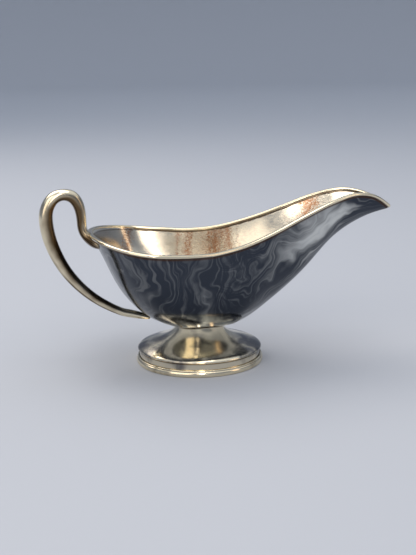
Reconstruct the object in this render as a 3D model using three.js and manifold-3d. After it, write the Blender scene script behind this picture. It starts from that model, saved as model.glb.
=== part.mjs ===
// Silver-plated sauce boat: a bowl raised from one sheet with a long pouring lip, an applied rim wire,
// a high looped cast handle and a spun trumpet foot with an applied base wire.
// Millimetres, +Z up, +X towards the lip. The foot's axis is x = 0 until the last lines centre the whole.
import * as THREE from 'three';
import { mergeVertices } from 'three/addons/utils/BufferGeometryUtils.js';
import Module from 'manifold-3d';

const wasm = await Module();
wasm.setup();

// Driving dimensions of the bowl
const FORE_REACH = 128.2;      // foot axis to the tip of the lip
const AFT_REACH = 67.2;        // foot axis to the stern
const BEAM = 104.2;            // greatest width
const BEAM_AFT = 33;           // how far astern of the foot axis the greatest width lies
const STERN_ROUNDNESS = 2;     // 2 makes the stern half an ellipse in plan
const RIM_LOW = 77.1;          // rim above the table at the foot axis, its lowest point
const STERN_RISE = 8.2;        // rise of the rim from there to the stern
const CREST_RISE = 27;         // rise of the rim from there to the crest of the lip
const BOWL_BOTTOM = 21.2;      // underside of the bowl above the table at the foot axis
const MIDSHIP_AFT = 2;         // how far astern of the foot axis the section is flattest below
const MIDSHIP_SPREAD = 36;     // how quickly the section goes back to an oval, each way from there
const BOWL_SHEET = 1.1;        // thickness of the raised sheet
const STERN_STEP = 1;          // depth of the sheet's edge where the two sides meet at the stern
const LIP_STEP = 1.1;          // the same at the tip of the lip
const LIP_START = 100;         // where the plan starts to close towards the tip
const LIP_CLOSING = [1.5, 0.75]; // a slightly pointed closing curve, (1 - t ** first) ** second

// Driving dimensions of the rim wire
const WIRE_OVERHANG = 1.9;     // how far the wire stands proud of the bowl
const WIRE_DROP = 1.3;         // how far it hangs below the edge
const WIRE_CROWN = 0.95;       // how far it stands above the edge

// Driving dimensions of the handle, on its centre line
const HANDLE_REACH = 26.9;     // stern to the outermost part of the loop
const HANDLE_RISE = 25.5;      // rim at the stern to the top of the loop
const HANDLE_LANDING = 29.7;   // how far aft of the foot axis its thin lower end dies into the keel
const RIM_PAD_WIDTH = 24;      // width of the flared end soldered below the rim
const RIM_PAD_DEPTH = 7.8;     // depth of that end
const STRAP_WIDTH = 9.6;       // width of the strap at the outermost part of the loop
const STRAP_THICKNESS = 8.7;   // thickness there

// Driving dimensions of the foot
const FOOT_RADIUS = 39.8;      // thin edge of the trumpet
const EDGE_HEIGHT = 9;         // that edge above the table
const SHOULDER_HEIGHT = 3.7;   // from the edge up to where the trumpet starts to flare
const NECK_RADIUS = 14;        // where the foot meets the bowl
const FOOT_SHEET = 1;          // thickness of the spun sheet
const SKIRT_RADIUS = 38.7;     // upright skirt below the edge and behind the base wire
const SKIRT_CLEARANCE = 0.5;   // skirt above the table
const BASE_WIRE_HEIGHT = 4.3;
const BASE_WIRE_RADIUS = 40.7; // outermost part of the base wire
const REST_WIDTH = 0.9;        // flat ring that the boat stands on

const GAP = 0.3;               // between pieces that are soldered together
const ALONG = 64;              // steps along the bowl
const ACROSS = 24;             // steps from one side of the bowl to the other
const ROUND = 64;              // steps round the foot
const BUNCHING = 0.93 * Math.PI; // how strongly the steps along the bowl bunch at its ends

// Smooth curve y(x) through a list of [x, y] pairs: cubic pieces that share a slope at every pair
function through(pairs) {
  const x = pairs.map((p) => p[0]);
  const y = pairs.map((p) => p[1]);
  const last = x.length - 1;
  const step = x.slice(1).map((v, i) => v - x[i]);
  const slope = step.map((h, i) => (y[i + 1] - y[i]) / h);
  const tangent = y.map((_, i) => (i === 0 || i === last ? 0
    : (slope[i - 1] * step[i] + slope[i] * step[i - 1]) / (step[i - 1] + step[i])));
  tangent[0] = 1.5 * slope[0] - 0.5 * tangent[1];
  tangent[last] = 1.5 * slope[last - 1] - 0.5 * tangent[last - 1];
  return (at) => {
    let i = 0;
    while (i < last - 1 && at > x[i + 1]) i += 1;
    const t = (at - x[i]) / step[i];
    const s = 1 - t;
    return y[i] * (1 + 2 * t) * s * s + tangent[i] * step[i] * t * s * s
      + y[i + 1] * t * t * (3 - 2 * t) - tangent[i + 1] * step[i] * t * t * s;
  };
}

// Plan: half the beam by the share of the way from the widest place to the tip
const planTaper = through([[0, 1], [0.142, 0.914], [0.296, 0.741], [0.449, 0.58],
  [0.585, 0.451], [0.708, 0.372], [0.844, 0.256], [1, 0.209]]);
function halfBeam(x) {
  if (x < -BEAM_AFT) {
    const t = Math.min(1, (-BEAM_AFT - x) / (AFT_REACH - BEAM_AFT));
    return BEAM / 2 * Math.sqrt(Math.max(0, 1 - t ** STERN_ROUNDNESS));
  }
  const closing = Math.min(1, Math.max(0, (x - LIP_START) / (FORE_REACH - LIP_START)));
  const taper = planTaper((x + BEAM_AFT) / (FORE_REACH + BEAM_AFT));
  return BEAM / 2 * taper * (1 - closing ** LIP_CLOSING[0]) ** LIP_CLOSING[1];
}

// Sheer: the rim's height, by shares of the reach each way and of its rise
const aftSheer = through([[0, 0], [0.327, 0.159], [0.67, 0.476], [1, 1]]);
const foreSheer = through([[0, 0], [0.155, 0.078], [0.325, 0.3], [0.495, 0.6], [0.649, 0.87],
  [0.804, 1], [0.904, 0.889], [1, 0.589]]);
function rimHeight(x) {
  if (x < 0) return RIM_LOW + STERN_RISE * aftSheer(-x / AFT_REACH);
  return RIM_LOW + CREST_RISE * foreSheer(x / FORE_REACH);
}

// Keel: the underside on the centre plane, by shares of the reach and of the depth at the foot
const DEPTH = RIM_LOW - BOWL_BOTTOM;
const sternKeel = (rimHeight(-AFT_REACH) - STERN_STEP - BOWL_BOTTOM) / DEPTH;
const tipKeel = (rimHeight(FORE_REACH) - LIP_STEP - BOWL_BOTTOM) / DEPTH;
const keelShare = through([[-1, sternKeel], [-0.908, 0.918], [-0.774, 0.556], [-0.595, 0.277],
  [-0.357, 0.091], [0, 0], [0.187, 0.029], [0.359, 0.268], [0.53, 0.581], [0.686, 0.953],
  [0.842, 1.163], [1, tipKeel]]);
function keelHeight(x) {
  return BOWL_BOTTOM + DEPTH * keelShare(x < 0 ? x / AFT_REACH : x / FORE_REACH);
}

// Fullness of the cross section: near 0 is a parabola, near 1 half an ellipse with upright sides
const fullnessShare = through([[-1, 0.2], [-0.67, 0.8], [-0.3, 0.93], [0.23, 0.93], [0.54, 0.9], [1, 0.8]]);
function fullness(x) {
  return fullnessShare(x < 0 ? x / AFT_REACH : x / FORE_REACH);
}

// Amidships the bottom is flatter and turns up more sharply: height by share of the way from keel to rim
const midSection = through([[0, 0], [0.15, 0.012], [0.304, 0.052], [0.5, 0.122], [0.64, 0.186], [0.74, 0.26],
  [0.82, 0.37], [0.9, 0.55], [0.96, 0.76], [1, 1]]);
function liftShare(x, across) {
  const k = fullness(x);
  const oval = (1 - Math.sqrt(1 - (k * across) ** 2)) / (1 - Math.sqrt(1 - k * k));
  const near = Math.min(1, Math.max(0, 1.5 - Math.abs(x + MIDSHIP_AFT) / MIDSHIP_SPREAD));
  return oval + (midSection(Math.abs(across)) - oval) * near * near * (3 - 2 * near);
}

// Places along the bowl run 0 to 1 from stern to tip, closer together where it bends more
function place(along) {
  return -AFT_REACH + (AFT_REACH + FORE_REACH) * (1 - Math.cos(BUNCHING * along)) / (1 - Math.cos(BUNCHING));
}

// A point of a flat curve moved sideways, to the left of the curve's own direction
function sideways(curve, along, distance) {
  const d = 1e-4;
  const tangent = curve(Math.min(1, along + d)).sub(curve(Math.max(0, along - d))).normalize();
  return curve(along).add(new THREE.Vector2(-tangent.y, tangent.x).multiplyScalar(distance));
}
const planEdge = (along) => new THREE.Vector2(place(along), halfBeam(place(along)));
const keelLine = (along) => new THREE.Vector2(place(along), keelHeight(place(along)));

// The upper edge in plan and the keel, both moved outwards from the sheet's outer face
function shiftedEdge(along, outwards) {
  if (along === 0 || along === 1) return new THREE.Vector2(place(along) + (along === 0 ? -outwards : outwards), 0);
  return sideways(planEdge, along, outwards);
}
function shiftedKeel(along, outwards) {
  if (along !== 0 && along !== 1) return sideways(keelLine, along, -outwards);
  const rim = rimHeight(place(along));
  const insideStep = 0.1 * STERN_STEP;
  const drop = outwards < 0 ? insideStep : rim - keelHeight(place(along)) + outwards;
  return new THREE.Vector2(shiftedEdge(along, outwards).x, rim - drop);
}

// A point of the bowl: across runs -1 to 1 from rim to rim, outwards is measured from the outer face
function hullPoint(along, across, outwards = 0) {
  const edge = shiftedEdge(along, outwards);
  const keel = shiftedKeel(along, outwards);
  const lift = liftShare(place(along), across);
  const x = keel.x + (edge.x - keel.x) * across ** 2;
  return new THREE.Vector3(x, edge.y * across, keel.y + (rimHeight(place(along)) - keel.y) * lift);
}

// Closed skin over rings of points, each ring closed on itself; loop also joins the last ring to the first
function skin(rings, loop = false) {
  const around = rings[0].length;
  const positions = rings.flat().flatMap((p) => [p.x, p.y, p.z]);
  const index = [];
  const bands = loop ? rings.length : rings.length - 1;
  for (let i = 0; i < bands; i += 1) {
    const next = (i + 1) % rings.length;
    for (let j = 0; j < around; j += 1) {
      const k = (j + 1) % around;
      const a = i * around + j;
      const b = i * around + k;
      const c = next * around + k;
      const e = next * around + j;
      index.push(a, b, c, a, c, e);
    }
  }
  const loose = new THREE.BufferGeometry();
  loose.setAttribute('position', new THREE.Float32BufferAttribute(positions, 3));
  loose.setIndex(index);
  return closed(loose);
}

// Welds equal corners, drops triangles without area and turns the faces outwards
function closed(geometry) {
  geometry.deleteAttribute('normal');
  geometry.deleteAttribute('uv');
  const welded = mergeVertices(geometry, 1e-4);
  const old = welded.getIndex().array;
  const p = welded.getAttribute('position');
  const index = [];
  const corner = [0, 1, 2].map(() => new THREE.Vector3());
  let volume = 0;
  for (let i = 0; i < old.length; i += 3) {
    const [a, b, c] = [old[i], old[i + 1], old[i + 2]];
    if (a === b || b === c || c === a) continue;
    index.push(a, b, c);
    [a, b, c].forEach((v, n) => corner[n].fromBufferAttribute(p, v));
    volume += corner[0].dot(corner[1].cross(corner[2])) / 6;
  }
  if (volume < 0) {
    for (let i = 0; i < index.length; i += 3) [index[i], index[i + 1]] = [index[i + 1], index[i]];
  }
  welded.setIndex(index);
  return welded;
}

// A profile of [radius, height] pairs turned round the foot's axis
function turned(profile) {
  const points = profile.map(([r, z]) => new THREE.Vector2(r, z));
  points.push(points[0].clone());
  const lathe = new THREE.LatheGeometry(points, ROUND);
  lathe.rotateX(Math.PI / 2);
  return closed(lathe);
}

function solid(geometry) {
  const mesh = new wasm.Mesh({
    numProp: 3,
    vertProperties: new Float32Array(geometry.getAttribute('position').array),
    triVerts: new Uint32Array(geometry.getIndex().array),
  });
  return new wasm.Manifold(mesh);
}

function cut(geometry, ...cutters) {
  let body = solid(geometry);
  for (const cutter of cutters) body = body.subtract(solid(cutter));
  const mesh = body.getMesh();
  const result = new THREE.BufferGeometry();
  result.setAttribute('position', new THREE.Float32BufferAttribute(mesh.vertProperties, 3));
  result.setIndex(Array.from(mesh.triVerts));
  return result;
}

const evenly = (count) => Array.from({ length: count + 1 }, (_, i) => i / count);
const acrossSteps = evenly(ACROSS).map((t) => Math.sin(Math.PI * (t - 0.5)));

// The bowl: outside and inside of one sheet, open at the top
function bowlGeometry() {
  const back = [...acrossSteps].reverse();
  return skin(evenly(ALONG).map((along) => [
    ...acrossSteps.map((across) => hullPoint(along, across)),
    ...back.map((across) => hullPoint(along, across, -BOWL_SHEET)),
  ]));
}

// The bowl's outside grown by a clearance and carried on upwards: it trims what is soldered to it
function hullCutter(clearance, upwards) {
  return skin(evenly(ALONG).map((along) => {
    const ring = acrossSteps.map((across) => hullPoint(along, across, clearance));
    const raised = (point) => point.clone().add(new THREE.Vector3(0, 0, upwards));
    return [raised(ring[0]), ...ring, raised(ring[ACROSS])];
  }));
}

// The rim wire's section, [outwards, upwards] from the sheet's outer edge; grow widens it all round
function wireSection(grow) {
  const inner = -BOWL_SHEET - grow;
  const outer = WIRE_OVERHANG + grow;
  const low = -WIRE_DROP - grow;
  const high = WIRE_CROWN + grow;
  const ledge = GAP - grow;
  return [[inner, ledge], [GAP - grow, ledge], [GAP - grow, low], [0.6 * outer, low], [outer, 0.4 * low],
    [outer, 0.35 * high], [0.7 * outer, 0.85 * high], [0, high], [0.8 * inner, 0.7 * high]];
}

// A closed sweep of a section round the rim
function rimSweep(section) {
  const side = evenly(ALONG).slice(1, -1);
  const places = [[0, 1], ...side.map((along) => [along, 1]), [1, 1], ...side.reverse().map((along) => [along, -1])];
  const edge = places.map(([along, across]) => hullPoint(along, across));
  return skin(edge.map((point, i) => {
    const tangent = edge[(i + 1) % edge.length].clone().sub(edge[(i + edge.length - 1) % edge.length]).normalize();
    const outwards = new THREE.Vector3(-tangent.y, tangent.x, 0).normalize();
    const upwards = outwards.clone().cross(tangent).normalize();
    if (upwards.z < 0) upwards.negate();
    return section.map(([out, up]) => point.clone().addScaledVector(outwards, out).addScaledVector(upwards, up));
  }), true);
}

// The handle's stations: [x, z, thickness, width] on the centre plane
const rimZ = rimHeight(-AFT_REACH);
const landing = new THREE.Vector2(-HANDLE_LANDING, keelHeight(-HANDLE_LANDING) + 0.2);
const outermost = new THREE.Vector2(-AFT_REACH - HANDLE_REACH, rimZ + 0.41 * HANDLE_RISE);
function loopStation(reach, rise, thickness, width) {
  return [-AFT_REACH - reach * HANDLE_REACH, rimZ + rise * HANDLE_RISE,
    thickness * STRAP_THICKNESS, width * STRAP_WIDTH];
}
function legStation(across, down, thickness, width) {
  return [outermost.x + across * (landing.x - outermost.x), outermost.y + down * (landing.y - outermost.y),
    thickness * STRAP_THICKNESS, width * STRAP_WIDTH];
}
const handleStations = [
  [-AFT_REACH + 8, rimZ - 0.66 * RIM_PAD_DEPTH, RIM_PAD_DEPTH, RIM_PAD_WIDTH],
  [-AFT_REACH + 2.2, rimZ - 0.56 * RIM_PAD_DEPTH, RIM_PAD_DEPTH, RIM_PAD_WIDTH],
  [-AFT_REACH - 3, rimZ - 0.03 * RIM_PAD_DEPTH, 0.8 * RIM_PAD_DEPTH, 0.44 * RIM_PAD_WIDTH],
  loopStation(0.183, 0.16, 0.68, 0.82),
  loopStation(0.198, 0.47, 0.72, 0.84),
  loopStation(0.257, 0.76, 0.82, 0.88),
  loopStation(0.39, 0.95, 0.88, 0.92),
  loopStation(0.6, 1, 0.82, 0.94),
  loopStation(0.81, 0.92, 0.91, 0.97),
  loopStation(0.955, 0.7, 0.95, 1),
  loopStation(1, 0.41, 1, 1),
  legStation(0.04, 0.228, 0.97, 1),
  legStation(0.178, 0.509, 0.83, 0.95),
  legStation(0.415, 0.758, 0.68, 0.88),
  legStation(0.683, 0.914, 0.57, 0.82),
  legStation(0.775, 0.939, 0.58, 0.82),
  legStation(0.876, 0.967, 0.5, 0.76),
  [landing.x, landing.y, 0.15 * STRAP_THICKNESS, 0.4 * STRAP_WIDTH],
];
const HANDLE_STEPS = 84;
const HANDLE_SIDES = 16;
const SQUARENESS = 0.92;       // 1 makes the section a plain ellipse, less makes it fuller at the corners

// The handle: rings of a rounded oval set square to the centre line, closed to a point at both ends
function handleGeometry() {
  const centres = handleStations.map(([x, z]) => new THREE.Vector3(x, 0, z));
  const path = new THREE.CatmullRomCurve3(centres, false, 'centripetal');
  const last = handleStations.length - 1;
  const thickness = through(handleStations.map((s, i) => [i / last, s[2]]));
  const width = through(handleStations.map((s, i) => [i / last, s[3]]));
  const rings = evenly(HANDLE_STEPS).map((t) => {
    const centre = path.getPoint(t);
    const along = path.getTangent(t);
    const normal = new THREE.Vector3(along.z, 0, -along.x);
    return evenly(HANDLE_SIDES).slice(0, -1).map((s) => {
      const angle = 2 * Math.PI * s;
      const round = (v) => Math.sign(v) * Math.abs(v) ** SQUARENESS;
      return centre.clone().addScaledVector(normal, round(Math.cos(angle)) * thickness(t) / 2)
        .add(new THREE.Vector3(0, round(Math.sin(angle)) * width(t) / 2, 0));
    });
  });
  const cap = (ring, t) => ring.map(() => path.getPoint(t));
  return skin([cap(rings[0], 0), ...rings, cap(rings[HANDLE_STEPS], 1)]);
}

// The foot's outside from the skirt up to the neck, then its inside one sheet further in
const shoulderTop = EDGE_HEIGHT + SHOULDER_HEIGHT;
const neckTop = BOWL_BOTTOM + 9;
const flareHeight = neckTop - 5.4 - shoulderTop;
const trumpet = [[0, 0.94], [0.06, 0.72], [0.16, 0.5], [0.32, 0.28], [0.52, 0.13], [0.74, -0.01]];
const footOutside = [
  [SKIRT_RADIUS, SKIRT_CLEARANCE],
  [SKIRT_RADIUS, EDGE_HEIGHT - 1.4],
  [SKIRT_RADIUS + 0.3, EDGE_HEIGHT - 0.8],
  [FOOT_RADIUS - 0.3, EDGE_HEIGHT - 0.45],
  [FOOT_RADIUS, EDGE_HEIGHT],
  [FOOT_RADIUS - 0.25, EDGE_HEIGHT + 0.16 * SHOULDER_HEIGHT],
  [FOOT_RADIUS - 1, EDGE_HEIGHT + 0.36 * SHOULDER_HEIGHT],
  [FOOT_RADIUS - 2.7, EDGE_HEIGHT + 0.62 * SHOULDER_HEIGHT],
  ...[...trumpet].reverse().map(([out, up]) => [
    NECK_RADIUS + 0.3 + out * (FOOT_RADIUS - NECK_RADIUS - 0.3), shoulderTop + up * flareHeight]),
  [NECK_RADIUS, shoulderTop + 1.12 * flareHeight],
  [NECK_RADIUS, neckTop],
];
function insideOf(profile, distance) {
  return profile.map(([r, z], i) => {
    const before = profile[Math.max(0, i - 1)];
    const after = profile[Math.min(profile.length - 1, i + 1)];
    const length = Math.hypot(after[0] - before[0], after[1] - before[1]);
    return [r - distance * (after[1] - before[1]) / length, z + distance * (after[0] - before[0]) / length];
  });
}
const footProfile = [...footOutside, ...insideOf(footOutside, FOOT_SHEET).reverse()];

// The base wire: a half round with a fine line above it, flat underneath
const wireInside = SKIRT_RADIUS + GAP;
const bulge = BASE_WIRE_RADIUS - wireInside - REST_WIDTH;
const baseWireProfile = [
  [wireInside, 0],
  [wireInside + REST_WIDTH, 0],
  ...[15, 40, 65, 90, 115, 140, 162].map((deg) => {
    const angle = THREE.MathUtils.degToRad(deg);
    return [wireInside + REST_WIDTH + bulge * Math.sin(angle), 0.38 * BASE_WIRE_HEIGHT * (1 - Math.cos(angle))];
  }),
  [wireInside + REST_WIDTH - 0.1, 0.8 * BASE_WIRE_HEIGHT],
  [wireInside + REST_WIDTH + 0.1, 0.87 * BASE_WIRE_HEIGHT],
  [wireInside + REST_WIDTH, 0.96 * BASE_WIRE_HEIGHT],
  [wireInside + 0.5 * REST_WIDTH, BASE_WIRE_HEIGHT],
  [wireInside, BASE_WIRE_HEIGHT],
];

// Finishes: warm silver plate, a little duller inside the bowl and on the foot
const plate = (color, roughness) => new THREE.MeshStandardMaterial({ color, roughness, metalness: 1 });
const hull = hullCutter(GAP, RIM_PAD_DEPTH);
const pieces = [
  ['bowl', bowlGeometry(), plate(0xd2cab8, 0.12)],
  ['rim_wire', rimSweep(wireSection(0)), plate(0xe0d3b8, 0.18)],
  ['handle', cut(handleGeometry(), hull, rimSweep(wireSection(GAP))), plate(0xdccdae, 0.2)],
  ['foot', cut(turned(footProfile), hull), plate(0xcfc6b2, 0.16)],
  ['foot_base_wire', turned(baseWireProfile), plate(0xd8cbb0, 0.2)],
];

const sauceBoat = new THREE.Group();
const body = new THREE.Group();
for (const [name, geometry, material] of pieces) {
  const mesh = new THREE.Mesh(geometry, material);
  mesh.name = name;
  body.add(mesh);
}
sauceBoat.add(body);

// The origin lies on the table under the middle of the whole length
const box = new THREE.Box3().setFromObject(body);
body.position.x = -(box.min.x + box.max.x) / 2;

export default sauceBoat;
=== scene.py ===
# %% [markdown]
# # A silver-plated sauce boat
# The real object is a bowl raised from one sheet of metal, with a wire soldered round its edge, a cast handle,
# a spun foot and a second wire that the foot stands on. All of it was plated with silver and then used for years.
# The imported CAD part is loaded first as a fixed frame. Its solids are faceted, which a mirror finish would show,
# so each piece is modelled again here with a smooth surface in exactly the same place.

import math

import bmesh
import bpy
import numpy as np
from mathutils import Matrix, Vector


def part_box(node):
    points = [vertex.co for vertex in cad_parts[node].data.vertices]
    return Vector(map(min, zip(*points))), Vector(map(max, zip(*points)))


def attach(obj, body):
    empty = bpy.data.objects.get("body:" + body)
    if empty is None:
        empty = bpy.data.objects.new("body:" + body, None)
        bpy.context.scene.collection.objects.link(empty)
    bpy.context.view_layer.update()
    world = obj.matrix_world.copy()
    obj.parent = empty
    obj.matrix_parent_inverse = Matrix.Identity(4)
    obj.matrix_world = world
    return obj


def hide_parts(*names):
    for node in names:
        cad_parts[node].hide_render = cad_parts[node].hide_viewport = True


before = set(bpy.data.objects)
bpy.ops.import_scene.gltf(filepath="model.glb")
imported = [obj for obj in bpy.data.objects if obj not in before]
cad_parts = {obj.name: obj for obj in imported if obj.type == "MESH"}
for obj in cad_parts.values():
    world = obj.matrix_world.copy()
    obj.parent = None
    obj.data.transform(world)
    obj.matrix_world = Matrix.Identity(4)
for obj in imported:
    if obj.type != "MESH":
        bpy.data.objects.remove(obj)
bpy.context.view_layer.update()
foot_low, foot_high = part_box("foot")
FOOT_AXIS = (foot_low.x + foot_high.x) / 2
MM = 0.001
print("foot axis in mm:", round(FOOT_AXIS / MM, 2))

# %% [markdown]
# ## The camera
# The photographer stood over half a metre away, a little above the table, and turned about twelve degrees towards
# the handle. The camera could be pointed with a constraint, but three directions written out keep its small roll.

# %% Camera
YAW, PITCH, ROLL = math.radians(12.55), math.radians(12.875), math.radians(-1.0)
forward = Vector((math.sin(YAW) * math.cos(PITCH), math.cos(YAW) * math.cos(PITCH), -math.sin(PITCH)))
level_right = forward.cross(Vector((0, 0, 1))).normalized()
level_up = level_right.cross(forward)
right = level_right * math.cos(ROLL) + level_up * math.sin(ROLL)
up = level_up * math.cos(ROLL) - level_right * math.sin(ROLL)

camera = bpy.data.objects.new("camera", bpy.data.cameras.new("camera"))
bpy.context.collection.objects.link(camera)
camera.matrix_world = Matrix((
    (right.x, up.x, -forward.x, FOOT_AXIS - 134.4 * MM),
    (right.y, up.y, -forward.y, -632.5 * MM),
    (right.z, up.z, -forward.z, 201.4 * MM),
    (0, 0, 0, 1),
))
camera.data.sensor_width = 36
camera.data.lens = 67.6
camera.data.clip_start = 0.01
camera.data.clip_end = 100
bpy.context.scene.camera = camera
print("camera at", [round(c, 3) for c in camera.location])

# %% [markdown]
# ## The bowl's lines
# A boat builder draws three lines: the plan of the edge, the sheer (the edge's height) and the keel. The bowl is
# the surface that hangs between them. Each line is a smooth curve through a few measured places. Shares of the
# length and depth are used, so that the lines keep their character if the size changes.

# %% Smooth curve
def through(pairs):
    """A smooth curve y(x) through [x, y] pairs, with one slope on both sides of every pair."""
    x, y = np.array(pairs, float).T
    step = np.diff(x)
    slope = np.diff(y) / step
    tangent = np.zeros_like(y)
    tangent[1:-1] = (slope[:-1] * step[1:] + slope[1:] * step[:-1]) / (step[:-1] + step[1:])
    tangent[0] = 1.5 * slope[0] - 0.5 * tangent[1]
    tangent[-1] = 1.5 * slope[-1] - 0.5 * tangent[-2]

    def at(value):
        i = min(max(int(np.searchsorted(x, value)) - 1, 0), len(step) - 1)
        t = (value - x[i]) / step[i]
        s = 1 - t
        return (
            y[i] * (1 + 2 * t) * s * s
            + tangent[i] * step[i] * t * s * s
            + y[i + 1] * t * t * (3 - 2 * t)
            - tangent[i + 1] * step[i] * t * t * s
        )

    return at


# %% Plan, sheer and keel, in millimetres from the foot's axis
AFT, FORE, BEAM, BEAM_AFT = 67.2, 128.2, 104.2, 33.0
RIM_LOW, STERN_RISE, CREST_RISE, BOTTOM, SHEET = 77.1, 8.2, 27.0, 21.2, 1.1
LIP_START, STERN_STEP, LIP_STEP = 100.0, 1.0, 1.1
LIP_CLOSING = 1.5, 0.75  # how the plan closes to the point of the lip
MIDSHIP_AFT, MIDSHIP_SPREAD = 2, 36  # where the flatter bottom is, and how far it reaches
taper = through([(0, 1), (0.142, 0.914), (0.296, 0.741), (0.449, 0.58), (0.585, 0.451), (0.708, 0.372),
                 (0.844, 0.256), (1, 0.209)])
aft_sheer = through([(0, 0), (0.327, 0.159), (0.67, 0.476), (1, 1)])
fore_sheer = through([(0, 0), (0.155, 0.078), (0.325, 0.3), (0.495, 0.6), (0.649, 0.87), (0.804, 1),
                      (0.904, 0.889), (1, 0.589)])


def half_beam(x):
    if x < -BEAM_AFT:
        return BEAM / 2 * math.sqrt(max(0, 1 - min(1, (-BEAM_AFT - x) / (AFT - BEAM_AFT)) ** 2))
    closing = min(1, max(0, (x - LIP_START) / (FORE - LIP_START)))
    return BEAM / 2 * taper((x + BEAM_AFT) / (FORE + BEAM_AFT)) * (1 - closing ** LIP_CLOSING[0]) ** LIP_CLOSING[1]


def rim_height(x):
    if x < 0:
        return RIM_LOW + STERN_RISE * aft_sheer(-x / AFT)
    return RIM_LOW + CREST_RISE * fore_sheer(x / FORE)


DEPTH = RIM_LOW - BOTTOM
keel_share = through([(-1, (rim_height(-AFT) - STERN_STEP - BOTTOM) / DEPTH), (-0.908, 0.918), (-0.774, 0.556),
                      (-0.595, 0.277), (-0.357, 0.091), (0, 0), (0.187, 0.029), (0.359, 0.268), (0.53, 0.581),
                      (0.686, 0.953), (0.842, 1.163), (1, (rim_height(FORE) - LIP_STEP - BOTTOM) / DEPTH)])
fullness = through([(-1, 0.2), (-0.67, 0.8), (-0.3, 0.93), (0.23, 0.93), (0.54, 0.9), (1, 0.8)])
mid_section = through([(0, 0), (0.15, 0.012), (0.304, 0.052), (0.5, 0.122), (0.64, 0.186), (0.74, 0.26),
                       (0.82, 0.37), (0.9, 0.55), (0.96, 0.76), (1, 1)])


def hull(x, across):
    """A point of the bowl's outside in metres. across runs -1 to 1, from one edge over the keel to the other."""
    reach = x / AFT if x < 0 else x / FORE
    k = fullness(reach)
    keel = BOTTOM + DEPTH * keel_share(reach)
    lift = (1 - math.sqrt(1 - (k * across) ** 2)) / (1 - math.sqrt(1 - k * k))
    near = min(1, max(0, 1.5 - abs(x + MIDSHIP_AFT) / MIDSHIP_SPREAD))
    lift += (mid_section(abs(across)) - lift) * near * near * (3 - 2 * near)
    return Vector((FOOT_AXIS + x * MM, half_beam(x) * across * MM, (keel + (rim_height(x) - keel) * lift) * MM))


BUNCHING = 0.93 * math.pi


def place(along):
    """Places 0 to 1 from stern to tip, closer together where the bowl bends more."""
    return -AFT + (AFT + FORE) * (1 - math.cos(BUNCHING * along)) / (1 - math.cos(BUNCHING))


print("rim at stern, waist and tip:", [round(rim_height(x), 1) for x in (-AFT, 0, FORE)])

# %% [markdown]
# ## Small tools
# Four helpers serve the pieces. One leaves a clean selection, one adds a modifier and applies it at once, one gives a
# finished piece its name and finish and fastens it to the frame, and one pulls a ring along a path by extruding it.

# %% Modelling helpers
def select_only(obj):
    """Operators work on what is selected, so everything else is deselected first."""
    bpy.ops.object.select_all(action="DESELECT")
    obj.select_set(True)
    bpy.context.view_layer.objects.active = obj


def modifier(obj, kind, **settings):
    """Adds a modifier and applies it, so that the mesh itself holds the shape."""
    made = obj.modifiers.new(kind.lower(), kind)
    for name, value in settings.items():
        setattr(made, name, value)
    select_only(obj)
    bpy.ops.object.modifier_apply(modifier=made.name)


def fasten(obj, name, node, *materials):
    """Names the finished piece, gives it its finish and lets it stand for the CAD node."""
    obj.name = name
    obj.data.name = name
    for material in materials:
        obj.data.materials.append(material)
    select_only(obj)
    bpy.ops.object.shade_smooth()
    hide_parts(node)
    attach(obj, "root")
    print(name, len(obj.data.polygons), "faces")


def extrude_along(profile, places, loop=False):
    """Extrudes a closed profile of (x, y) pairs through a list of matrices. A loop is joined end to end."""
    bpy.ops.object.select_all(action="DESELECT")
    bpy.ops.mesh.primitive_circle_add(vertices=len(profile), radius=1)
    obj = bpy.context.object
    for vertex, (x, y) in zip(obj.data.vertices, profile):
        vertex.co = places[0] @ Vector((x, y, 0))
    bpy.ops.object.mode_set(mode="EDIT")
    bpy.ops.mesh.select_all(action="SELECT")
    if not loop:
        bpy.ops.mesh.edge_face_add()
    for before, after in zip(places, places[1:]):
        bpy.ops.mesh.extrude_region_move()
        mesh = bmesh.from_edit_mesh(obj.data)
        move = after @ before.inverted()
        for vertex in mesh.verts:
            if vertex.select:
                vertex.co = move @ vertex.co
        bmesh.update_edit_mesh(obj.data)
    if loop:
        bpy.ops.mesh.select_all(action="DESELECT")
        bpy.ops.mesh.select_non_manifold()
        bpy.ops.mesh.bridge_edge_loops()
    bpy.ops.mesh.select_all(action="SELECT")
    bpy.ops.mesh.normals_make_consistent(inside=False)
    bpy.ops.object.mode_set(mode="OBJECT")
    return obj


# %% [markdown]
# ## Silver plate
# Silver reflects almost everything and hardly tints it, with a touch of yellow. Years of polishing leave fine hairline
# scratches in every direction, and lacquer-brown tarnish stays where a cloth doesn't reach. A bare Principled shader
# with metal turned on would look like chrome, so its colour, roughness and bump all vary a little over the surface.
# Some of the colour is painted light too: brown shadow lines, and film laid as reflections, highlights and shade.

# %% Colour and node helpers
# A brown for tarnish in hollows, also used as painted shade.
TARNISH_AND_SHADE_BROWN = "#4a301b"
STIR_MM, WAVE_MM, SPECK_MM = 24, 14, 1.0
TURN_OVER_MM = 50  # the streaks turn along the spout within this length
HAIRLINES_PER_M = (110, 900, 1300)


def linear(hex_colour):
    """An sRGB hex colour as the linear values that the shader reads."""
    parts = [int(hex_colour[i : i + 2], 16) / 255 for i in (1, 3, 5)]
    return [c / 12.92 if c <= 0.04045 else ((c + 0.055) / 1.055) ** 2.4 for c in parts] + [1]


def add(tree, kind, links=(), **settings):
    """Adds a node, sets its own settings and its sockets, and links sockets from (name, socket) pairs."""
    made = tree.nodes.new(kind)
    for name, value in settings.items():
        if hasattr(made, name):
            setattr(made, name, value)
        else:
            made.inputs[name].default_value = value
    for name, socket in links:
        tree.links.new(socket, made.inputs[name])
    return made


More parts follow.
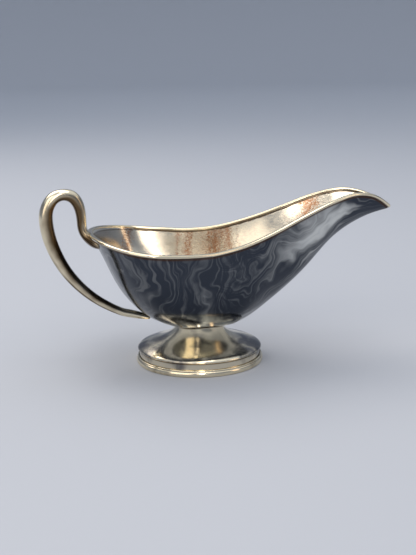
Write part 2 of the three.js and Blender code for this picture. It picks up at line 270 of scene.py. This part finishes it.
def silver_plate(name, clean, film, cover, patches_mm, swirl_mm, roughness, haze, waves_mm, hairline_mm, flow=False,
                 turn_mm=0, wisps=0.0, spots=0.0):
    """Plated silver with a film over part of it. cover is the film's share, patches_mm the size of its patches along
    X, Y and Z, and swirl_mm how far their edges wander. haze is what the scratches add to the roughness. With flow,
    the patches are streaks that follow the bowl's own lines and turn along the spout from turn_mm onwards, and wisps
    is how far thin bright lines cut through them."""
    material = bpy.data.materials.new(name)
    material.use_nodes = True
    tree = material.node_tree
    shader = tree.nodes["Principled BSDF"]
    shader.inputs["Metallic"].default_value = 1
    where = add(tree, "ShaderNodeTexCoord").outputs["Object"]
    # Film: its patches have edges that are stirred by a second, slower noise.
    base = add(tree, "ShaderNodeAttribute", attribute_name="flow").outputs["Vector"] if flow else where
    slow = add(tree, "ShaderNodeTexNoise", [("Vector", where)], Scale=1 / (STIR_MM * MM), Detail=2)
    push = add(tree, "ShaderNodeVectorMath", [(0, slow.outputs["Color"])], operation="MULTIPLY_ADD")
    push.inputs[1].default_value = [2 * swirl_mm * MM] * 3
    push.inputs[2].default_value = [-swirl_mm * MM] * 3
    stirred = add(tree, "ShaderNodeVectorMath", [(0, base), (1, push.outputs[0])], operation="ADD").outputs[0]
    if flow:
        # Forward of the foot the streaks turn and run along the spout.
        place_along = add(tree, "ShaderNodeSeparateXYZ", [("Vector", base)]).outputs["X"]
        forward = add(tree, "ShaderNodeMapRange", [("Value", place_along)], interpolation_type="SMOOTHSTEP")
        forward.inputs["From Min"].default_value = turn_mm * MM
        forward.inputs["From Max"].default_value = (turn_mm + TURN_OVER_MM) * MM

    def streaks(across_mm, along_mm, deep_mm, detail):
        """Noise drawn out into streaks that stand upright and, forward of the turn, run along the spout."""
        drawn = add(tree, "ShaderNodeMapping", [("Vector", stirred)],
                    Scale=[1 / (size * MM) for size in (across_mm, along_mm, deep_mm)])
        upright = add(tree, "ShaderNodeTexNoise", [("Vector", drawn.outputs[0])], Scale=1, Detail=detail, Roughness=0.5)
        if not flow:
            return upright.outputs["Fac"]
        turned = add(tree, "ShaderNodeMapping", [("Vector", stirred)],
                     Scale=[1 / (size * MM) for size in (5 * along_mm, 0.6 * across_mm, deep_mm)])
        level = add(tree, "ShaderNodeTexNoise", [("Vector", turned.outputs[0])], Scale=1, Detail=detail, Roughness=0.5)
        return add(tree, "ShaderNodeMix", [("Factor", forward.outputs[0]), (2, upright.outputs["Fac"]),
                                           (3, level.outputs["Fac"])]).outputs[0]

    # The attribute lets the film grow where nobody polishes and keeps it off where hands rub. On the bowl's outside and
    # the handle it also lays the film as painted reflections, highlights and shade.
    film_and_painted_light = add(tree, "ShaderNodeAttribute", attribute_name="film_and_painted_light").outputs["Fac"]
    biased = add(tree, "ShaderNodeMath", [(0, film_and_painted_light), (2, streaks(*patches_mm, 3))], operation="MULTIPLY_ADD")
    biased.inputs[1].default_value = 0.4
    # Food acids leave it speckled: the real specks are a tenth of a millimetre, these are a millimetre.
    fine = add(tree, "ShaderNodeTexNoise", [("Vector", where)], Scale=1 / (SPECK_MM * MM), Detail=1)
    speckled = add(tree, "ShaderNodeMath", [(0, fine.outputs["Fac"]), (2, biased.outputs[0])],
                   operation="MULTIPLY_ADD")
    speckled.inputs[1].default_value = spots
    amount = add(tree, "ShaderNodeMapRange", [("Value", speckled.outputs[0])], interpolation_type="SMOOTHSTEP")
    amount.inputs["From Min"].default_value = 0.64 - 0.3 * cover + spots / 2
    amount.inputs["From Max"].default_value = 0.86 - 0.17 * cover + spots / 2
    # Thin bright wisps cut through the film: marks a cloth leaves, and on the outside also painted streaks of
    # reflection.
    keep = add(tree, "ShaderNodeMapRange", [("Value", streaks(2.8, 30, 20, 5))], interpolation_type="SMOOTHSTEP")
    keep.inputs["From Min"].default_value = 0.48
    keep.inputs["From Max"].default_value = 0.66
    keep.inputs["To Min"].default_value = 1
    keep.inputs["To Max"].default_value = 1 - wisps
    amount = add(tree, "ShaderNodeMath", [(0, amount.outputs[0]), (1, keep.outputs[0])], operation="MULTIPLY")
    filmed = add(tree, "ShaderNodeMix", [("Factor", amount.outputs[0])], data_type="RGBA")
    filmed.inputs[6].default_value = linear(clean)
    filmed.inputs[7].default_value = linear(film)
    # Recesses that a cloth misses go brown. The same brown is painted shade: a shadow line under the rim wire, the
    # wire's own lower edge and a contact shadow at the bottom of the base wire.
    tarnish_and_shade = add(tree, "ShaderNodeAttribute", attribute_name="tarnish_and_shade")
    colour = add(tree, "ShaderNodeMix", [("Factor", tarnish_and_shade.outputs["Fac"]), (6, filmed.outputs[2])], data_type="RGBA")
    colour.inputs[7].default_value = linear(TARNISH_AND_SHADE_BROWN)
    tree.links.new(colour.outputs[2], shader.inputs["Base Color"])
    # Hairlines are a hundredth of a millimetre wide on the real metal. They are drawn half a millimetre wide.
    combed = add(tree, "ShaderNodeMapping", [("Vector", where)], Rotation=(0.3, 0.5, 0.4), Scale=HAIRLINES_PER_M)
    hairlines = add(tree, "ShaderNodeTexNoise", [("Vector", combed.outputs[0])], Scale=1, Detail=3)
    spread = add(tree, "ShaderNodeMapRange", [("Value", hairlines.outputs["Fac"])])
    spread.inputs["From Min"].default_value = 0.35
    spread.inputs["From Max"].default_value = 0.75
    spread.inputs["To Min"].default_value = roughness
    spread.inputs["To Max"].default_value = roughness + haze
    rough = add(tree, "ShaderNodeMath", [(0, amount.outputs[0]), (2, spread.outputs[0])], operation="MULTIPLY_ADD")
    rough.inputs[1].default_value = 0.08
    tree.links.new(rough.outputs[0], shader.inputs["Roughness"])
    # Raising a bowl leaves broad soft hammer waves that make its reflections swim.
    waves = add(tree, "ShaderNodeTexNoise", [("Vector", where)], Scale=1 / (WAVE_MM * MM), Detail=1, Roughness=0.3)
    first = add(tree, "ShaderNodeBump", [("Height", waves.outputs["Fac"])], Strength=1, Distance=waves_mm * MM)
    second = add(tree, "ShaderNodeBump", [("Height", hairlines.outputs["Fac"]), ("Normal", first.outputs[0])],
                 Strength=1, Distance=hairline_mm * MM)
    tree.links.new(second.outputs[0], shader.inputs["Normal"])
    return material


# Outside: a dark thin film with faint wisps over a mirror, partly tarnish and partly a painted dark reflection, so it
# looks deep and a little smoky.
mirror = silver_plate("silver_plate_outside", "#d9dad6", "#3d424b", 1.9, (16, 34, 20), 18, 0.07, 0.07, 0.35, 0.002,
                      True, turn_mm=-8, wisps=0.16)
# Inside: warm and softer, with brown speckled stains that show it has held sauce.
satin = silver_plate("silver_plate_inside", "#f0e8d6", "#b4886a", 0.3, (8, 50, 20), 7, 0.17, 0.1, 0.25, 0.003, True,
                     turn_mm=50, wisps=0.5, spots=0.5)
# Wires and handle: yellower, bright on the wires, and browner on the handle where its attribute paints shade on its
# inside and underside.
warm = silver_plate("silver_plate_wire_and_handle", "#f2e5c8", "#65523a", 0.4, (40, 14, 40), 3, 0.13, 0.08, 0.05, 0.002)
# Foot: bright, and greyed on the sides that a cloth misses.
footed = silver_plate("silver_plate_foot", "#f3e7cd", "#6e6d70", 0.5, (14, 14, 20), 8, 0.12, 0.07, 0.1, 0.001)


def bump_at(x, centre, width):
    """1 at centre, falling softly to nothing about two widths away."""
    return math.exp(-(((x - centre) / width) ** 2))


def store(obj, name, value):
    """Keeps value(point, normal) of every corner as an attribute that the finish reads."""
    values = [value(Vector((v.co.x - FOOT_AXIS, v.co.y, v.co.z)) / MM, v.normal) for v in obj.data.vertices]
    wide = isinstance(values[0], (tuple, Vector))
    attribute = obj.data.attributes.new(name, "FLOAT_VECTOR" if wide else "FLOAT", "POINT")
    flat = np.array(values, np.float32).ravel()
    attribute.data.foreach_set("vector" if wide else "value", flat)


# %% [markdown]
# ## The bowl
# A bowl could be cut from a sphere, but this one has a long lip. It is hung on its lines instead, starting from a flat
# grid: one way along the grid is along the boat, the other is across it. The two ends of the grid close to a line at
# the stern and the tip, where doubles are merged. Subdivision makes it smooth, and Solidify gives the sheet its wall.

# %% Bowl
bpy.ops.object.select_all(action="DESELECT")
STATIONS, STRAKES = 40, 20
bpy.ops.mesh.primitive_grid_add(x_subdivisions=STATIONS, y_subdivisions=STRAKES, size=2)
bowl = bpy.context.object
thin_at_lip = bowl.vertex_groups.new(name="thin_at_lip")
for vertex in bowl.data.vertices:
    along, across = (vertex.co.x + 1) / 2, math.sin(vertex.co.y * math.pi / 2)
    vertex.co = hull(place(along), across)
    thin_at_lip.add([vertex.index], min(1, 0.1 + half_beam(place(along)) / 5), "REPLACE")
bpy.ops.object.mode_set(mode="EDIT")
bpy.ops.mesh.select_all(action="SELECT")
bpy.ops.mesh.remove_doubles(threshold=0.01 * MM)
bpy.ops.mesh.normals_make_consistent(inside=False)
bpy.ops.mesh.select_all(action="DESELECT")
bpy.ops.object.mode_set(mode="OBJECT")
if sum(f.normal.z * f.area for f in bowl.data.polygons) > 0:
    bowl.data.flip_normals()
modifier(bowl, "SUBSURF", levels=3, render_levels=3)
bowl.data.materials.append(mirror)
bowl.data.materials.append(satin)
modifier(bowl, "SOLIDIFY", thickness=SHEET * MM, offset=-1, vertex_group="thin_at_lip", material_offset=1)


# Places along the boat and half-lengths in millimetres. For the neck it is the distance from the foot's axis.
FLANK, NECK, TIP = (78, 26), (0, 38), (122, 16)
STAINS = [(22, 14, 0.62), (-1, 8, 0.5), (-40, 8, 0.45)]  # the third number is the strength
NECK_LINE = 14.2  # radius of the soldered joint between bowl and foot


def across_at(p):
    """How far a point lies from the keel, -1 to 1 from edge to edge."""
    return max(-1, min(1, p.y / max(half_beam(p.x), 0.5)))


def faces_out(p, normal):
    """True on the outside of the sheet: the normal points away from a line high above the keel."""
    return normal.dot(Vector((0, p.y, p.z - 120))) > 0


def bowl_tarnish_and_shade(p, normal):
    """A brown line painted under the rim wire as the wire's shadow, a brown joint round the foot's neck, and a dull
    stern inside, where a hand can't turn.
    """
    if not faces_out(p, normal) and p.z < rim_height(p.x) - 2:
        return 0.6 * bump_at(p.x, -66, 19) + 0.28 * bump_at(p.x, 15, 8)
    below = rim_height(p.x) - p.z
    # A brown line two millimetres below the rim line is painted shadow under the wire.
    line = 1 - abs(below - 2.0) / 0.9
    neck = 1 - abs(math.hypot(p.x, p.y) - NECK_LINE) / 1.4 if p.z < 28 and normal.z < 0 else 0
    return max(0, min(0.85, max(line, neck)))


def bowl_stains_and_painted_reflections(p, normal):
    """Outside: painted reflections, bright on the flank of the spout and round the neck, dark on the keel and tip.
    Inside: stains where sauce stood and ran.
    """
    across = abs(across_at(p))
    if faces_out(p, normal):
        flank = bump_at(p.x, *FLANK) * bump_at(across, 0.85, 0.35)
        neck = bump_at(math.hypot(p.x, p.y), *NECK) * bump_at(p.z, 20, 14)
        tip = bump_at(p.x, *TIP) + 0.7 * bump_at(across, 0, 0.4)
        return 0.22 - 0.95 * flank * (1 - 0.6 * bump_at(across, 0, 0.4)) - 2.2 * neck + 0.5 * tip
    stain = sum(strength * bump_at(p.x, at, length) for at, length, strength in STAINS)
    return stain + 0.85 * bump_at(p.x, 79, 9) * bump_at(across, 0.95, 0.25) - 0.1


store(bowl, "tarnish_and_shade", bowl_tarnish_and_shade)
store(bowl, "film_and_painted_light", bowl_stains_and_painted_reflections)
store(bowl, "flow", lambda p, normal: (p.x * MM, across_at(p) * 60 * MM, 0.0))
fasten(bowl, "bowl_smooth", "bowl")

# %% [markdown]
# ## The rim wire
# On the real boat a drawn wire is bent round the edge and soldered over it. Its section is a half round outside, a thin
# hem inside and a slot for the sheet. A curve with a bevel profile would turn that profile over at the tip, so the
# profile is carried round in short steps that keep it upright.

# %% Rim wire
WIRE = [(0.02, -1.3), (0.9, -1.3), (1.6, -0.85), (1.9, -0.1), (1.65, 0.5), (1.0, 0.88), (0.1, 0.95), (-0.8, 0.88),
        (-1.35, 0.5), (-1.5, -0.2), (-1.38, -0.75), (-1.5, -1.3), (-1.46, -1.85), (-1.13, -1.95), (-1.12, 0.25),
        (0.02, 0.25)]
STEPS = 56
side = [place(i / STEPS) for i in range(1, STEPS)]
edge = [hull(-AFT, 1), *[hull(x, 1) for x in side], hull(FORE, 1), *[hull(x, -1) for x in reversed(side)]]


def upright(points, i):
    """A frame at a point of a closed path: x outwards and level, y upwards, square to the path."""
    tangent = (points[(i + 1) % len(points)] - points[i - 1]).normalized()
    outwards = Vector((-tangent.y, tangent.x, 0)).normalized()
    upwards = tangent.cross(outwards).normalized()
    if upwards.z < 0:
        upwards = -upwards
    return Matrix((
        (outwards.x * MM, upwards.x * MM, tangent.x * MM, points[i].x),
        (outwards.y * MM, upwards.y * MM, tangent.y * MM, points[i].y),
        (outwards.z * MM, upwards.z * MM, tangent.z * MM, points[i].z),
        (0, 0, 0, 1),
    ))


rim_wire = extrude_along(WIRE, [upright(edge, i) for i in range(len(edge))], loop=True)
modifier(rim_wire, "SUBSURF", levels=2, render_levels=2)
# The wire's lower edge is darkened brown as painted shade under its own overhang.
store(rim_wire, "tarnish_and_shade", lambda p, normal: max(0, min(0.85, (rim_height(p.x) - p.z - 0.5) / 0.5)))
store(rim_wire, "film_and_painted_light", lambda p, normal: -0.3)
fasten(rim_wire, "rim_wire_smooth", "rim_wire", warm)

# %% [markdown]
# ## The handle
# It was cast in one piece: a flat pad below the rim, a strap that climbs into a high loop, comes down in one long
# sweep and thins out where it lies against the keel. The strap's width and thickness change all the way, which a plain
# bevelled curve can't do, so an oval is extruded from station to station, turned square to the path each time.

# %% Handle
# Each station is x and z on the centre plane, thickness in that plane and width across it, in millimetres.
HANDLE = [(-60.0, 80.3, 7.8, 24.0), (-65.0, 80.9, 7.8, 24.0), (-70.2, 85.1, 6.2, 10.6), (-72.1, 89.4, 5.9, 7.9),
          (-72.5, 97.3, 6.3, 8.1), (-74.1, 104.7, 7.1, 8.4), (-77.7, 109.5, 7.7, 8.8), (-83.3, 110.8, 7.1, 9.0),
          (-89.0, 108.8, 7.9, 9.3), (-92.9, 103.1, 8.3, 9.6), (-94.1, 95.8, 8.7, 9.6), (-91.5, 80.7, 8.4, 9.6),
          (-82.6, 62.1, 7.2, 9.1), (-67.4, 45.6, 5.9, 8.4), (-50.1, 35.2, 5.0, 7.9), (-44.2, 33.5, 5.0, 7.9),
          (-37.7, 31.7, 4.3, 7.3), (-31.5, 30.0, 2.4, 5.5)]


def between(p, q, t, start, end):
    """The point on the line that is at p when t is start, and at q when t is end."""
    return (p * (end - t) + q * (t - start)) / (end - start)


def smooth_path(rows, steps):
    """Points between the rows on a centripetal curve, so that close rows don't make it overshoot."""
    rows = [np.array(r, float) for r in rows]
    rows = [2 * rows[0] - rows[1], *rows, 2 * rows[-1] - rows[-2]]
    found = []
    for four in zip(rows, rows[1:], rows[2:], rows[3:]):
        knots = np.cumsum([0, *[math.sqrt(math.dist(p[:2], q[:2])) for p, q in zip(four, four[1:])]])
        for t in np.linspace(knots[1], knots[2], steps, endpoint=False):
            a, b, c = (between(four[i], four[i + 1], t, knots[i], knots[i + 1]) for i in range(3))
            early = between(a, b, t, knots[0], knots[2])
            late = between(b, c, t, knots[1], knots[3])
            found.append(between(early, late, t, knots[1], knots[2]))
    return [*found, rows[-2]]


path = smooth_path(HANDLE, 3)


def station(i):
    """A frame at a point of the path, square to it and as wide and thick as the strap is there."""
    x, z, thickness, width = path[i]
    before, after = path[max(i - 1, 0)], path[min(i + 1, len(path) - 1)]
    ahead = Vector((after[0] - before[0], 0, after[1] - before[1])).normalized()
    outer = Vector((ahead.z, 0, -ahead.x))
    half_t, half_w = thickness / 2 * MM, width / 2 * MM
    return Matrix((
        (outer.x * half_t, 0, ahead.x * MM, FOOT_AXIS + x * MM),
        (0, half_w, 0, 0),
        (outer.z * half_t, 0, ahead.z * MM, z * MM),
        (0, 0, 0, 1),
    ))


CORNERS, FULLNESS = 16, 0.9  # a fullness below 1 makes the oval a little squarer
circle = [(math.cos(a), math.sin(a)) for a in (2 * math.pi * i / CORNERS for i in range(CORNERS))]
oval = [(math.copysign(abs(x) ** FULLNESS, x), math.copysign(abs(y) ** FULLNESS, y)) for x, y in circle]
handle = extrude_along(oval, [station(i) for i in range(len(path))])
modifier(handle, "SUBSURF", levels=2, render_levels=2)

# %% [markdown]
# The two ends of the handle run on into the bowl. They are trimmed where they meet it, as they were filed to fit
# before soldering, with a Boolean against a closed copy of the bowl's outside.

# %% Trim the handle
bpy.ops.object.select_all(action="DESELECT")
bpy.ops.mesh.primitive_grid_add(x_subdivisions=60, y_subdivisions=24, size=2)
core = bpy.context.object
for vertex in core.data.vertices:
    along, across = (vertex.co.x + 1) / 2, math.sin(vertex.co.y * math.pi / 2)
    vertex.co = hull(place(along), across)
bpy.ops.object.mode_set(mode="EDIT")
bpy.ops.mesh.select_all(action="SELECT")
bpy.ops.mesh.remove_doubles(threshold=0.01 * MM)
bpy.ops.mesh.select_all(action="DESELECT")
bpy.ops.mesh.select_non_manifold()
bpy.ops.mesh.extrude_region_move(TRANSFORM_OT_translate={"value": (0, 0, 0.02)})
bpy.ops.mesh.edge_face_add()
bpy.ops.mesh.select_all(action="SELECT")
bpy.ops.mesh.normals_make_consistent(inside=False)
bpy.ops.object.mode_set(mode="OBJECT")
modifier(handle, "BOOLEAN", operation="DIFFERENCE", object=core, solver="EXACT")
bpy.data.objects.remove(core)
# The cut leaves slivers, and faces with many sides. One of these came out folded back on itself when it was split into
# triangles afterwards, so they are split here, where the split comes out clean.
bpy.ops.object.mode_set(mode="EDIT")
bpy.ops.mesh.select_all(action="DESELECT")
bpy.ops.mesh.select_face_by_sides(number=4, type="GREATER")
bpy.ops.mesh.quads_convert_to_tris()
bpy.ops.mesh.select_all(action="SELECT")
bpy.ops.mesh.remove_doubles(threshold=0.02 * MM)
bpy.ops.mesh.dissolve_degenerate(threshold=0.01 * MM)
bpy.ops.object.mode_set(mode="OBJECT")


def handle_painted_highlight_and_shade(p, normal):
    """A painted highlight runs along the strap between painted shade on its inside and on the underside of its long
    sweep.
    The seat on the keel is left bright as well."""
    # The middle of the handle's opening moves forward and down from the loop to the end of the sweep.
    share = max(0, min(1, (95 - p.z) / 45))
    middle = Vector((-80 + 20 * share, 0, 95 - 45 * share))
    inward = normal.dot((middle - p).normalized())
    under = share * max(0, -normal.z - normal.x - 0.75)
    seat = bump_at(p.x, -38, 13)
    return 0.68 - 0.2 * share + (0.65 if inward < 0 else 0.9 - 0.6 * share) * inward + 1.4 * under - 1.2 * seat


# The handle's film is laid as painted light: a highlight band along the strap, shade on its inside and underside.
store(handle, "film_and_painted_light", handle_painted_highlight_and_shade)
store(handle, "tarnish_and_shade",
      lambda p, normal: 0.5 * bump_at(p.x, -31, 2) + 0.5 * bump_at(p.z, 80, 3) * bump_at(p.x, -66, 4))
fasten(handle, "handle_smooth", "handle", warm)

# %% [markdown]
# ## The foot
# It was spun on a lathe from a flat disc, and the same thing is done here: a profile is drawn by extruding one corner
# point by point, and Spin turns it round the axis. The neck's upper edge is then raised to the bowl point by point,
# because the underside of the bowl is not level.

# %% Turned pieces
def spun(profile, steps=96):
    """Draws a closed profile of (radius, height) pairs in millimetres and spins it round the foot's axis."""
    bpy.ops.object.select_all(action="DESELECT")
    bpy.ops.mesh.primitive_plane_add(size=0.001)
    obj = bpy.context.object
    bpy.ops.object.mode_set(mode="EDIT")
    bpy.ops.mesh.select_all(action="SELECT")
    bpy.ops.mesh.merge(type="CENTER")
    first = Vector((FOOT_AXIS + profile[0][0] * MM, 0, profile[0][1] * MM))
    bpy.ops.transform.translate(value=first)
    for (r0, z0), (r1, z1) in zip(profile, profile[1:]):
        bpy.ops.mesh.extrude_region_move(TRANSFORM_OT_translate={"value": ((r1 - r0) * MM, 0, (z1 - z0) * MM)})
    mesh = bmesh.from_edit_mesh(obj.data)
    mesh.edges.new([v for v in mesh.verts if len(v.link_edges) == 1])
    bmesh.update_edit_mesh(obj.data)
    bpy.ops.mesh.select_all(action="SELECT")
    bpy.ops.mesh.spin(steps=steps, angle=2 * math.pi, center=(FOOT_AXIS, 0, 0), axis=(0, 0, 1), use_auto_merge=True)
    bpy.ops.mesh.select_all(action="SELECT")
    bpy.ops.mesh.remove_doubles(threshold=0.005 * MM)
    bpy.ops.mesh.normals_make_consistent(inside=False)
    bpy.ops.object.mode_set(mode="OBJECT")
    return obj


# %% Foot
FOOT = [(38.7, 0.5), (38.7, 4.0), (38.7, 7.6), (39.0, 8.2), (39.5, 8.55), (39.8, 9.0), (39.55, 9.6), (38.8, 10.35),
        (37.1, 11.3), (33.2, 12.6), (27.6, 14.3), (22.5, 16.1), (18.4, 18.75), (15.8, 21.4), (14.3, 24.1), (14.0, 26.2)]
INSIDE = [(13.0, 26.2), (13.3, 23.9), (14.9, 20.9), (17.7, 18.0), (22.1, 15.2), (27.3, 13.3), (32.8, 11.6),
          (36.6, 10.35), (37.9, 9.7), (38.6, 9.1), (38.1, 8.8), (37.7, 8.1), (37.7, 4.0), (37.7, 0.5)]
NECK_TOP, INTO_SOLDER = 26, 0.1  # the neck ends a tenth of a millimetre inside the sheet, so that no gap shows
foot = spun(FOOT + INSIDE)
for vertex in foot.data.vertices:
    if vertex.co.z > NECK_TOP * MM:
        x, y = (vertex.co.x - FOOT_AXIS) / MM, vertex.co.y / MM
        vertex.co.z = hull(x, y / half_beam(x)).z + INTO_SOLDER * MM
modifier(foot, "SUBSURF", levels=2, render_levels=2)
store(foot, "tarnish_and_shade", lambda p, normal: max(0, min(0.8, 1 - abs(p.z - 8.1) / 0.6), min(0.7, (p.z - 23.5) / 3)))
# The cloth doesn't reach under the lip and the handle as well as it does in front and behind.
store(foot, "film_and_painted_light", lambda p, normal: 0.5 * min(1, abs(p.x) / 26) ** 2 * bump_at(p.z, 12, 7) - 0.1)
fasten(foot, "foot_smooth", "foot", footed)

# %% Base wire
BASE_WIRE = [(39.0, 0), (39.9, 0), (40.15, 0.08), (40.45, 0.4), (40.65, 1.0), (40.7, 1.7), (40.6, 2.4), (40.35, 2.95),
             (40.0, 3.25), (39.8, 3.45), (39.95, 3.7), (39.9, 4.05), (39.5, 4.3), (39.0, 4.3)]
base_wire = spun(BASE_WIRE)
modifier(base_wire, "BEVEL", width=0.08 * MM, segments=2, limit_method="ANGLE", angle_limit=math.radians(50))
modifier(base_wire, "SUBSURF", levels=2, render_levels=2)
# The groove turns brown, and the lowest half millimetre is darkened as a painted contact shadow where the wire meets
# the floor.
store(base_wire, "tarnish_and_shade", lambda p, normal: max(0, 0.8 - abs(p.z - 3.45) / 0.35, 0.9 - p.z / 0.5))
store(base_wire, "film_and_painted_light", lambda p, normal: 0.1)
fasten(base_wire, "foot_base_wire_smooth", "foot_base_wire", warm)

# %% [markdown]
# ## The studio
# Metal shows its surroundings more than itself. The key lamp stands behind on the left and a second one hangs
# overhead. A broad lamp on the front left, a narrow strip in front and a small warm one on the front right are
# mirrored as long highlights. A pale floor and a dim sky, brighter towards the top, fill the rest.

# %% Floor and backdrop
# A round floor that sweeps up into a wall all the way round, so no edge of it shows from any side.
bpy.ops.object.select_all(action="DESELECT")
FLOOR, SWEEP, WALL = 4, 1.2, 2.4  # radius of the flat part, radius of the upward sweep and height of the wall, m
bpy.ops.mesh.primitive_circle_add(vertices=96, radius=FLOOR, fill_type="NGON")
floor = bpy.context.object
floor.name = "floor"
arcs = [math.radians(90) * i / 12 for i in range(13)]
rings = [(FLOOR + SWEEP * math.sin(a), SWEEP * (1 - math.cos(a))) for a in arcs] + [(FLOOR + SWEEP, WALL)]
bpy.ops.object.mode_set(mode="EDIT")
bpy.ops.mesh.select_mode(type="EDGE")
bpy.ops.mesh.select_all(action="SELECT")
bpy.ops.mesh.region_to_loop()
for (inner, low), (outer, high) in zip(rings, rings[1:]):
    bpy.ops.mesh.extrude_region_move(TRANSFORM_OT_translate={"value": (0, 0, high - low)})
    bpy.ops.transform.resize(value=(outer / inner, outer / inner, 1))
bpy.ops.object.mode_set(mode="OBJECT")
select_only(floor)
bpy.ops.object.shade_smooth()
paper = bpy.data.materials.new("pale_paper")
paper.use_nodes = True
paper.node_tree.nodes["Principled BSDF"].inputs["Base Color"].default_value = linear("#b9bec8")
paper.node_tree.nodes["Principled BSDF"].inputs["Roughness"].default_value = 0.9
floor.data.materials.append(paper)

# %% Lamps and sky
def softbox(name, at, aim, width, height, radiance, colour):
    """A flat soft lamp. radiance is how bright its face looks, where 1 is white."""
    lamp = bpy.data.objects.new(name, bpy.data.lights.new(name, "AREA"))
    lamp.data.shape = "RECTANGLE"
    lamp.data.size, lamp.data.size_y = width, height
    lamp.data.energy = radiance * math.pi * width * height
    lamp.data.color = linear(colour)[:3]
    lamp.location = at
    lamp.rotation_euler = (Vector(aim) - Vector(at)).to_track_quat("-Z", "Y").to_euler()
    bpy.context.collection.objects.link(lamp)


softbox("key", (-0.5, 0.8, 1.2), (0, 0, 0.05), 1.1, 1.0, 2.5, "#fff4e6")
softbox("overhead", (0.05, 0.0, 1.35), (0, 0, 0.05), 1.0, 0.5, 2.2, "#fff6ea")
softbox("left", (-0.85, -0.8, 0.56), (0, 0, 0.08), 0.9, 1.1, 1.3, "#fff3e0")
softbox("strip", (-0.19, -1.15, 0.62), (0, 0, 0.08), 0.21, 1.1, 3.8, "#fff6ea")
softbox("right", (1.0, -0.7, 0.45), (0, 0, 0.08), 0.3, 0.8, 1.3, "#ffdfb8")
world = bpy.data.worlds.new("sky")
bpy.context.scene.world = world
world.use_nodes = True
tree = world.node_tree
direction = add(tree, "ShaderNodeTexCoord").outputs["Generated"]
height = add(tree, "ShaderNodeSeparateXYZ", [("Vector", direction)]).outputs["Z"]
climb = add(tree, "ShaderNodeMapRange", [("Value", height)], interpolation_type="SMOOTHSTEP")
climb.inputs["From Min"].default_value = 0.05
climb.inputs["From Max"].default_value = 0.9
climb.inputs["To Min"].default_value = 0.3
climb.inputs["To Max"].default_value = 0.95
background = tree.nodes["Background"]
background.inputs["Color"].default_value = linear("#dfe5ee")
tree.links.new(climb.outputs[0], background.inputs["Strength"])
bpy.context.scene.view_settings.view_transform = "Standard"
